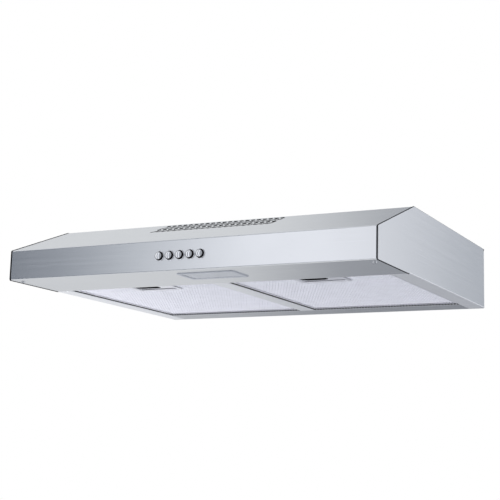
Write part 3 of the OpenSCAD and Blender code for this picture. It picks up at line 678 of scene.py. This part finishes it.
def expanded(area, z, lw, sw, width, thick, rise, keep=None, turned=False):
    """Expanded metal: tilted strands between staggered bonds, as one set of boxes.

    lw and sw are the long and short way of a diamond. The long way runs along X, or
    along Y where the sheet is turned. keep picks the strands by their middles.
    """
    x0, x1, y0, y1 = area
    if turned:
        x0, x1, y0, y1 = y0, y1, x0, x1
    ni, nj = int((x1 - x0) / (lw / 2)), int((y1 - y0) / (sw / 2))
    i, j = np.meshgrid(np.arange(ni), np.arange(nj), indexing="ij")
    i, j = i.ravel(), j.ravel()
    ox, oy = (x0 + x1 - ni * lw / 2) / 2, (y0 + y1 - nj * sw / 2) / 2
    up = (i + j) % 2 == 0
    a = np.stack([ox + i * lw / 2, oy + (j + ~up) * sw / 2], 1)
    b = np.stack([ox + (i + 1) * lw / 2, oy + (j + up) * sw / 2], 1)
    if keep:
        mid = (a + b) / 2
        good = keep(*(mid.T[::-1] if turned else mid.T))
        a, b = a[good], b[good]
    way = (b - a) / np.linalg.norm(b - a, axis=1)[:, None]
    a, b = a - way * width * 0.35, b + way * width * 0.35
    side = np.stack([-way[:, 1], way[:, 0]], 1)
    verts = []
    for end in (a, b):
        for s, t in ((-1, 0), (1, 0), (1, 1), (-1, 1)):
            p = end + side * s * width / 2
            verts.append(np.column_stack([p, np.full(len(p), z + (s + 1) / 2 * rise + t * thick)]))
    verts = np.stack(verts, 1)
    if turned:
        verts = verts[..., [1, 0, 2]]
    n = len(a)
    base = np.arange(n)[:, None] * 8
    quads = np.array([
        (0, 1, 5, 4), (1, 2, 6, 5), (2, 3, 7, 6), (3, 0, 4, 7), (0, 3, 2, 1), (4, 5, 6, 7)
    ])
    faces = (base[:, None] + quads[None]).reshape(-1, 4)
    return verts.reshape(-1, 3).tolist(), faces.tolist()


def clear_of_dish(x, y):
    """True where a strand stays clear of the tray and of the latch's whole travel."""
    beside = DISH_W / 2 + 1.7
    in_x = (x > DISH_X - beside) & (x < DISH_X + beside)
    in_y = (y > DISH_Y - 4) & (y < DISH_Y + DISH_L + 3.0)
    return ~(in_x & in_y)


def filter_place(name):
    """A filter's own frame, with its width and its length."""
    low, high = drawn(f"filter_{name}_faces")
    skin = Vector((FRAME_SKIN, FRAME_SKIN, 0))
    low, high = low - skin, high + skin
    at = Matrix.Translation(((low.x + high.x) / 2, low.y, low.z - FRAME_SKIN))
    return at, high.x - low.x, high.y - low.y


def make_filter_frame(name):
    at, w, length = filter_place(name)
    channel = [(FRAME_RIM, 0), (0, 0), (0, FRAME_H), (FRAME_RIM, FRAME_H)]
    outer, inner = fold_path(channel, [FRAME_R, FRAME_R], FRAME_SKIN, 5)
    loop = outer + inner[::-1]
    rings = [
        [(sx * (w / 2 - p.x), length / 2 + sy * (length / 2 - p.x), p.y) for p in loop]
        for sx, sy in ((-1, -1), (1, -1), (1, 1), (-1, 1))
    ]
    verts, faces = loft(rings, close=True)
    obj = bare(f"filter_{name}_rim", [at @ Vector(v) for v in verts], faces)
    holes = []
    for k in range(DRAINS):
        centre = ((k - (DRAINS - 1) / 2) * DRAIN_PITCH, length - 3.0)
        holes.append(prism(rounded_outline(DRAIN_L, DRAIN_W, DRAIN_R, 3, centre), -1, 2, at))
    cut(obj, *joined(*holes))
    dress(obj, alloy, f"filter_{name}", (f"filter_{name}_frame",), 34)


def make_filter(name):
    """One grease filter: frame, rear tongues, mesh, inner layers, pad and pressed tray."""
    make_filter_frame(name)
    at, w, length = filter_place(name)
    body = f"filter_{name}"

    def add(part, material, *shapes, node=None, angle=32):
        nodes = (f"{body}_{node}",) if node else ()
        piece(f"{body}_{part}", *joined(*shapes), material, body, "filter_alloy", nodes, angle,
              local=at)

    tongues = []
    for x in (-TONGUE_X, TONGUE_X):
        near, far = x - TONGUE_HALF, x + TONGUE_HALF
        tongues.append(
            block((near, length - 0.1, 1), (far, length + 0.6, TONGUE_TOP), 0.15))
        tongues.append(
            block((near, length - 0.1, 3.2), (far, length + TONGUE_OUT, TONGUE_TOP), 0.25))
    add("tongues", alloy, *tongues)

    half = w / 2 - 1.6
    add("mesh", alloy_mesh,
        expanded((-half, half, 1.6, length - 4.9), z=0.95, lw=10.0, sw=5.0, width=1.15,
                 thick=0.35, rise=0.75, keep=clear_of_dish, turned=True),
        node="faces", angle=20)
    add("layers", alloy_mesh,
        expanded((-half, half, 1.6, length - 6), z=2.35, lw=11.0, sw=6.4, width=1.3,
                 thick=0.4, rise=0.9, keep=clear_of_dish),
        expanded((-half, half, 1.6, length - 1.6), z=7.0, lw=11.0, sw=6.4, width=1.3,
                 thick=0.4, rise=0.7, turned=True),
        angle=20)
    # A near-black strip under the mesh along the rear edge: painted shade for the dark line at the
    # filter's back
    add("shade", black_and_painted_shade,
        block((-w / 2 + 2, length - 4.9, 1.0), (w / 2 - 2, length - 1.0, 1.4), 0.1))

    # The pad lies round the tray on three sides
    pad_x, low_z, high_z = w / 2 - 1.4, 3.9, 6.8
    left, right = DISH_X - DISH_W / 2 - 0.8, DISH_X + DISH_W / 2 + 0.8
    behind = DISH_Y + DISH_L + 0.8
    add("pad", pad_with_painted_shade,
        block((-pad_x, 1.4, low_z), (left, behind, high_z), 0.4),
        block((right, 1.4, low_z), (pad_x, behind, high_z), 0.4),
        block((-pad_x, behind, low_z), (pad_x, length - 6, high_z), 0.4),
        node="core")

    centre = (DISH_X, DISH_Y + DISH_L / 2)

    def level(grow, z):
        return ring_at(z, DISH_W + 2 * grow, DISH_L + 2 * grow, DISH_R + grow, 8, centre)

    wall = [(3.0, 0.15), (2.7, -0.25), (2.2, -0.4), (-3.2, -0.4), (-3.75, -0.2), (-4.0, 0.2),
            (-4.0, 0.8), (-0.8, 0.8), (-0.8, 6.8), (0, 6.8), (0, 0.15)]
    tray = loft([level(grow, z) for grow, z in wall], close=True)
    roof = loft([level(0, 6.8), level(0, 7.2), level(-0.4, 7.6)], cap_start=True, cap_end=True)
    ledges = []
    for s in (-1, 1):
        x, y = DISH_X + s * (DISH_W / 2 - 1.5), centre[1]
        ledges.append(block((x - 1.5, y - 12, 2.8), (x + 1.5, y + 12, 3.6), 0.15))
    add("tray", alloy, tray, roof, *ledges, node="dish", angle=40)


def make_latch(name):
    """The slider in a filter's tray: a plate with a finger slot, its bolt and spring tab."""
    at = filter_place(name)[0]
    body = f"latch_{name}"

    def plate(grow, z):
        return ring_at(z, LATCH_W + 2 * grow, LATCH_L + 2 * grow, LATCH_R, 10,
                       (DISH_X, LATCH_Y + LATCH_L / 2))

    def hole(grow, z):
        return ring_at(z, FINGER_W + 2 * grow, FINGER_L + 2 * grow, FINGER_R + grow, 10,
                       (DISH_X - 11, LATCH_Y + 13))

    # The cup lines the finger slot in near-black: painted shade so that the slot reads dark
    shade_cup = loft([hole(-0.04, 5.4), hole(-0.04, 1.15), hole(-0.4, 1.0), hole(-0.8, 1.2),
                hole(-1.2, 5.0)], cap_start=True, cap_end=True)
    piece(f"{body}_cup", *shade_cup, black_and_painted_shade, body, "filter_alloy", local=at)
    slider = loft([
        plate(0, 1.4), plate(-0.3, 1.12), hole(0.5, 1.12), hole(0.15, 1.05), hole(0, 1.3),
        hole(0, 2.5), plate(-0.3, 2.5), plate(0, 2.2),
    ], close=True)
    bolt = block((DISH_X - 6, -0.6, 2.5), (DISH_X + 6, 10.5, 3.9), 0.3)
    tab = block((DISH_X + 15, 30, 2.4), (DISH_X + 25, 31, 5.3), 0.15)
    piece(f"{body}_slider", *joined(slider, bolt, tab), alloy, body, "filter_alloy", (body,), 40,
          local=at)


# ---------------------------------------------------------------- lamp
def make_lamp():
    low, high = drawn("lamp_frame")
    mid, size = (low + high) / 2, high - low

    def ring(inset, z, r):
        return ring_at(z, size.x - 2 * inset, size.y - 2 * inset, max(0.6, r - inset), 8,
                       (mid.x, mid.y))

    rim = [(0, 0), (0, -0.5), (0.2, -0.9), (0.7, -1.15), (1.2, -1.2), (5.6, -1.2), (6.3, -1.05),
           (6.8, -0.7), (7.0, -0.2), (7.0, 14), (4.2, 14), (4.2, 0)]
    bezel = loft([ring(inset, z, 6.0) for inset, z in rim], close=True)
    piece("lamp_bezel", *bezel, trim, "hood", "lamp_trim", ("lamp_frame",), 38)
    pane = [(7.4, 2.0), (7.1, 1.6), (7.1, 0.0), (7.4, -0.35), (8.0, -0.5)]
    window = loft([ring(inset, z, 9.6) for inset, z in pane], cap_start=True, cap_end=True)
    piece("lamp_window", *window, lens, "hood", "lamp_diffuser", ("lamp_lens",), 38)


# ---------------------------------------------------------------- buttons
def make_button(i):
    """A chrome dome on a black skirt, with the plunger behind. Gives the bezel's shape."""
    name, mid = f"button_{i}", middle(f"button_{i}")
    low, high = drawn(name)
    tip, back, dome_h = low.y, high.y, 2.0
    dome_r = (SKIRT_R ** 2 + dome_h ** 2) / (2 * dome_h)
    top = math.asin(CAP_R / dome_r)
    angles = [top * k / 14 for k in range(1, 15)]
    dome = [(dome_r * math.sin(a), tip + dome_r - dome_r * math.cos(a)) for a in angles]
    edge = dome[-1][1]
    cap = [(0.0, tip), *dome, (CAP_R + 0.08, edge + 0.1), (CAP_R + 0.05, edge + 0.5),
           (0.0, edge + 0.5)]
    piece(f"button_cap_{i}", *lathe(cap, ROUND_STEPS, mid), chrome, name, "chrome_trim", (name,),
          40)

    # The skirt is black plastic, and its near-black, barely reflecting ring round the dome is also
    # painted shade for the gap there
    stop_r, stem_r = 7.4, 2.5
    skirt = [
        (0.0, edge + 0.4), (CAP_R + 0.2, edge + 0.3), (SKIRT_R - 0.3, edge + 0.45),
        (SKIRT_R - 0.08, edge + 0.6), (SKIRT_R, edge + 0.85), (SKIRT_R, FRONT_Y + 6.3),
        (stop_r, FRONT_Y + 6.3), (stop_r, FRONT_Y + 7.8), (stem_r, FRONT_Y + 7.8),
        (stem_r, back), (0.0, back),
    ]
    piece(f"button_skirt_{i}", *lathe(skirt, ROUND_STEPS, mid), black_and_painted_shade, name, "black_plastic",
          angle=40)

    ring = [(0, 6), (0, -0.5), (0.1, -0.85), (0.4, -1.12), (0.7, -1.2), (1.05, -1.12),
            (1.35, -0.8), (1.5, -0.3), (1.5, 0), (0.4, 0), (0.4, 6)]
    return lathe([(BEZEL_R + r, FRONT_Y + y) for r, y in ring], ROUND_STEPS, mid, close=True)


def make_buttons():
    bezels = [make_button(i) for i in BUTTONS]
    piece("button_bezels", *joined(*bezels), chrome, "hood", "chrome_trim", ("bezel_rings",), 40)


# ---------------------------------------------------------------- painted shade in the vents and the gaps
def make_vent_shade():
    """Black gauze behind the vent slots, on the duct's front end, and a black collar in each slot:
    painted shade that keeps the slots dark.
    """
    verts, faces = expanded((-104, 104, -64, 0), z=0.0, lw=4.2, sw=2.4, width=0.95, thick=0.3,
                            rise=0.5)
    behind = slope_place(0, SLOPE_LEN - 4, 0) @ Matrix.Translation((0, 0, -2.9))
    parts = [([behind @ Vector(v) for v in verts], faces)]
    for place in slot_places():
        rings = [
            [place @ Vector((x, y, z)) for x, y in slot_outline(inset, 5)]
            for inset, z in ((0.05, -2.2), (0.05, -0.12), (0.7, -0.12), (0.7, -2.2))
        ]
        parts.append(loft(rings, close=True))
    piece("vent_painted_shade", *joined(*parts), black_and_painted_shade, "hood", "black_plastic", angle=20)


def make_gap_shade():
    """Near-black strips in the narrow gaps round the filters, dashed along the rear: painted shade
    for the shadow in those gaps.
    """
    top, edge = 3.8, 0.05
    pitch, dash = 5.2, 3.4
    front, back = OPEN_FRONT_Y, OPEN_BACK_Y
    strips = []
    for s in (-1, 1):
        for x in (DIVIDER_HALF, LIP_X - SHEET):
            strips.append(side_block(s, (x + 0.05, front + 0.1, 0.85),
                                     (x + 0.9, back - 1.2, top), edge))
        strips.append(side_block(s, (DIVIDER_HALF, front + 0.05, 0.6),
                                 (LIP_X, front + 0.6, top), edge))
        for k in range(int((LIP_X - DIVIDER_HALF) / pitch)):
            x = DIVIDER_HALF + pitch * (k + 0.5)
            strips.append(side_block(s, (x - dash / 2, back - 0.35, 0.3),
                                     (x + dash / 2, back - 0.05, top), edge))
    piece("gap_painted_shade", *joined(*strips), black_and_painted_shade, "hood", "black_plastic")


make_canopy()
make_seam_shade()
make_side(-1, "left")
make_side(1, "right")
make_back()
make_divider()
for hand in ("left", "right"):
    make_filter(hand)
    make_latch(hand)
make_lamp()
make_buttons()
make_vent_shade()
make_gap_shade()

# ---------------------------------------------------------------- CAD nodes that stay as they are
FINISH = {
    zinc: "corner_brackets body_screws switch_bracket lamp_lid scroll_housing scroll_cover "
          "outlet_collar capacitor_clip damper_left damper_right",
    wire_steel: "button_springs latch_spring_left latch_spring_right inlet_guard motor_shaft "
                "damper_pin motor_bearings",
    black: "switch_block junction_box junction_lid cable_gland inlet_ring outlet_plenum",
    white: "lamp_driver capacitor terminal_block",
    board: "lamp_board",
    rotor: "impeller rotor_core",
    motor: "motor_can motor_cap motor_stator",
    copper: "motor_windings",
    sheath: "wiring",
}
finish_of = {node: finish for finish, nodes in FINISH.items() for node in nodes.split()}
for name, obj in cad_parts.items():
    if name in finish_of:
        if not obj.material_slots:
            obj.data.materials.append(finish_of[name])
        for place in obj.material_slots:
            place.material = finish_of[name]


# ---------------------------------------------------------------- floor, light and air
FLOOR_Z, FLOOR_HALF, FLOOR_STEPS = -2.3, 45.0, 24
STUDIO_STRENGTH = 1.75
LIGHT_AIM = (0, -0.25, -0.05)

# Tones of the studio round the hood, by degrees from +Y towards +X
SIDES = [
    (-180, (0.24, 0.25, 0.27)),
    (-170, (0.32, 0.33, 0.35)),
    (-162, (0.52, 0.53, 0.56)),
    (-154, (0.80, 0.81, 0.85)),
    (-149, (0.52, 0.54, 0.57)),
    (-144, (0.21, 0.23, 0.26)),
    (-139, (0.06, 0.07, 0.09)),
    (-134, (0.09, 0.10, 0.12)),
    (-127, (0.56, 0.57, 0.59)),
    (-78, (0.56, 0.57, 0.59)),
    (-60, (0.47, 0.48, 0.49)),
    (-45, (0.48, 0.49, 0.50)),
    (-30, (0.49, 0.50, 0.51)),
    (-22, (0.21, 0.22, 0.24)),
    (-10, (0.20, 0.21, 0.23)),
    (6, (0.15, 0.16, 0.18)),
    (15, (0.22, 0.24, 0.27)),
    (22, (0.62, 0.63, 0.66)),
    (60, (0.68, 0.70, 0.72)),
    (100, (0.50, 0.51, 0.53)),
    (114, (0.25, 0.26, 0.28)),
    (168, (0.22, 0.23, 0.25)),
    (180, (0.24, 0.25, 0.27)),
]
# Tones of the studio by height, as the sine of the elevation
HEIGHTS = [
    (-1.0, (1.0, 1.0, 1.0)),
    (-0.3, (0.92, 0.92, 0.93)),
    (0.4, (0.96, 0.96, 0.96)),
    (1.0, (0.96, 0.96, 0.97)),
]


def make_floor():
    count = FLOOR_STEPS + 1
    ticks = [FLOOR_HALF * (2 * i / FLOOR_STEPS - 1) for i in range(count)]
    verts = [(x, y, FLOOR_Z) for x in ticks for y in ticks]
    faces = []
    for i in range(FLOOR_STEPS):
        for k in range(i * count, i * count + FLOOR_STEPS):
            faces.append((k, k + count, k + count + 1, k + 1))
    obj = raw("floor", verts, faces, Matrix())
    obj.data.materials.append(
        satin("floor_pale", (0.86, 0.86, 0.87), 0.6, 0.0, 40, lift=0.02, low=0.99, high=1.01))
    obj.visible_glossy = False


def make_light(name, place, aim, size, power, tint=(1, 1, 1)):
    """A soft light that neither the camera nor the steel sees."""
    data = bpy.data.lights.new(name, "AREA")
    data.shape, data.size, data.size_y = "RECTANGLE", size[0], size[1]
    data.energy, data.color = power, tint
    obj = bpy.data.objects.new(name, data)
    scene.collection.objects.link(obj)
    obj.location = place
    obj.rotation_mode = "QUATERNION"
    obj.rotation_quaternion = (Vector(aim) - Vector(place)).to_track_quat("-Z", "Y")
    obj.visible_camera = False
    obj.visible_glossy = False


def make_world():
    """White to the eye, and a soft studio of bright and dim sides to the steel."""
    world = bpy.data.worlds.new("studio")
    scene.world = world
    world.use_nodes = True
    tree = world.node_tree
    tree.nodes.clear()
    link = tree.links.new

    def add(kind, **settings):
        made = tree.nodes.new(kind)
        for key, value in settings.items():
            setattr(made, key, value)
        return made

    def ramp(value, low, high, stops):
        """Eased colours between stops of (value, tone), for values from low to high."""
        part = add("ShaderNodeMapRange")
        part.inputs["From Min"].default_value = low
        part.inputs["From Max"].default_value = high
        link(value, part.inputs["Value"])
        made = add("ShaderNodeValToRGB")
        made.color_ramp.interpolation = "EASE"
        elements = made.color_ramp.elements
        while len(elements) < len(stops):
            elements.new(0.5)
        for element, (at, tone) in zip(elements, stops):
            element.position = (at - low) / (high - low)
            element.color = (*tone, 1)
        link(part.outputs["Result"], made.inputs["Fac"])
        return made.outputs["Color"]

    way = add("ShaderNodeSeparateXYZ")
    link(add("ShaderNodeTexCoord").outputs["Generated"], way.inputs[0])
    bearing = add("ShaderNodeMath", operation="ARCTAN2")
    link(way.outputs["X"], bearing.inputs[0])
    link(way.outputs["Y"], bearing.inputs[1])
    stops = [(math.radians(degrees), tone) for degrees, tone in SIDES]

    both = add("ShaderNodeMix", data_type="RGBA", blend_type="MULTIPLY")
    both.inputs["Factor"].default_value = 1
    link(ramp(bearing.outputs[0], -math.pi, math.pi, stops), both.inputs["A"])
    link(ramp(way.outputs["Z"], -1, 1, HEIGHTS), both.inputs["B"])
    seen = add("ShaderNodeBackground")
    seen.inputs["Color"].default_value = (1, 1, 1, 1)
    lit = add("ShaderNodeBackground")
    lit.inputs["Strength"].default_value = STUDIO_STRENGTH
    link(both.outputs["Result"], lit.inputs["Color"])
    mix = add("ShaderNodeMixShader")
    link(add("ShaderNodeLightPath").outputs["Is Camera Ray"], mix.inputs["Fac"])
    link(lit.outputs[0], mix.inputs[1])
    link(seen.outputs[0], mix.inputs[2])
    link(mix.outputs[0], add("ShaderNodeOutputWorld").inputs["Surface"])


make_floor()
make_world()
make_light("key", (-1.6, -2.2, 1.9), LIGHT_AIM, (1.6, 1.2), 38)
make_light("fill", (2.2, -1.2, 0.3), LIGHT_AIM, (1.4, 1.4), 14)
make_light("low", (-0.72, -0.42, -0.72), (-0.1, -0.2, -0.1), (0.5, 0.5), 9, (0.98, 0.97, 1.0))
scene.view_settings.view_transform = "Standard"
